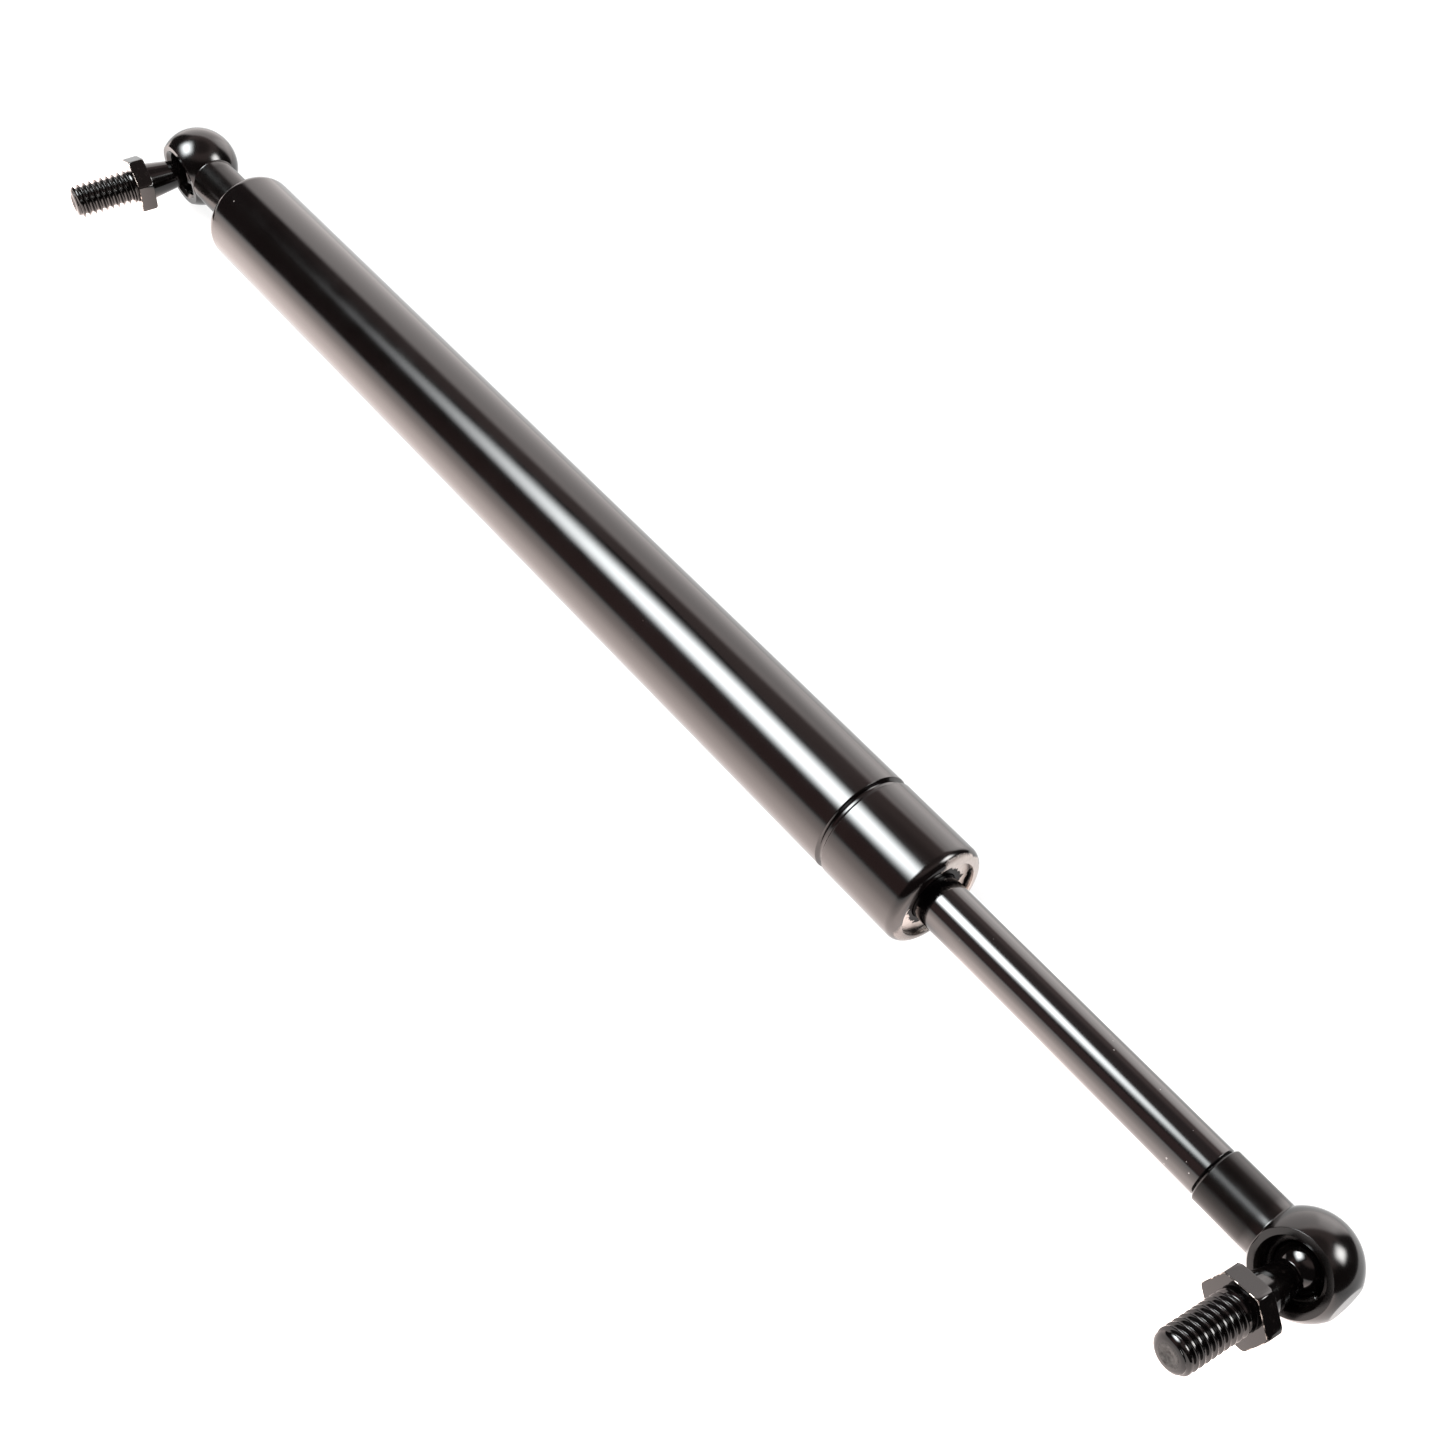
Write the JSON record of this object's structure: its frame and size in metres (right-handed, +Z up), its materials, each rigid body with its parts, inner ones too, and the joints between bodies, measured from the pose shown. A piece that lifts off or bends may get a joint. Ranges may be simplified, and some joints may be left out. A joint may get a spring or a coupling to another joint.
{
  "type": "gas strut stay",
  "caption": "Closed gas spring with a sliding rod, and at each end a ball socket holding a hexagon ball stud with a threaded shank.",
  "frame": {"origin": "centre of the rear ball, at the closed end of the tube", "axes": "+X from the rear ball to the front ball along the strut; +Z up as the strut lies on a flat surface; the studs point to -Y"},
  "size_m": [0.3759, 0.0428, 0.022],
  "materials": {
    "tube_paint": "gloss black",
    "rod_black": "black nitrided, polished",
    "socket_black": "black, semi-gloss",
    "stud_black": "black, gloss",
    "spring_wire": "bright",
    "steel": "turned",
    "washer_steel": "bare, satin",
    "aluminium": "turned",
    "bronze": "sintered",
    "seal_rubber": "matte",
    "ring_plastic": "matte"
  },
  "bodies": {
    "cylinder": {"pressure_tube": "tube_paint", "rear_end_plug": "steel", "rear_plug_o_ring": "seal_rubber", "rear_ball_socket": "socket_black", "seal_support_washer": "steel", "rod_seal": "seal_rubber", "rod_guide": "aluminium", "guide_bush": "bronze", "guide_o_ring": "seal_rubber", "front_retaining_washer": "washer_steel"},
    "piston_ring": {"piston_ring": "ring_plastic"},
    "rod": {"piston_rod": "rod_black", "piston_washer": "steel", "piston_body": "aluminium", "orifice_disc": "bronze", "front_ball_socket": "socket_black"},
    "front_ring": {"front_snap_ring": "spring_wire"},
    "front_stud": {"front_ball_stud": "stud_black"},
    "rear_ring": {"rear_snap_ring": "spring_wire"},
    "rear_stud": {"rear_ball_stud": "stud_black"}
  },
  "joints": [
    {"name": "rod_slide", "type": "slide", "parent": "cylinder", "child": "piston_ring", "axis": [1, 0, 0], "range_m": [-0.06, 0], "stiffness_N_per_m": 500, "springref_m": 0.2},
    {"name": "rod_turn", "type": "hinge", "parent": "piston_ring", "child": "rod", "pos_m": [0.25, 0, 0], "axis": [1, 0, 0], "continuous": true},
    {"name": "front_swivel", "type": "hinge", "parent": "rod", "child": "front_ring", "pos_m": [0.359, 0, 0], "axis": [0, -0.9578, 0.2874], "continuous": true},
    {"name": "front_tilt", "type": "hinge", "parent": "front_ring", "child": "front_stud", "pos_m": [0.359, 0, 0], "axis": [0.9864, -0.0472, -0.1572], "range_deg": [-41.9, 2.1]},
    {"name": "rear_swivel", "type": "hinge", "parent": "cylinder", "child": "rear_ring", "pos_m": [0, 0, 0], "axis": [0, -0.9573, -0.289], "continuous": true},
    {"name": "rear_tilt", "type": "hinge", "parent": "rear_ring", "child": "rear_stud", "pos_m": [0, 0, 0], "axis": [-0.3768, 0.2677, -0.8868], "range_deg": [-30.6, 13.4]}
  ]
}
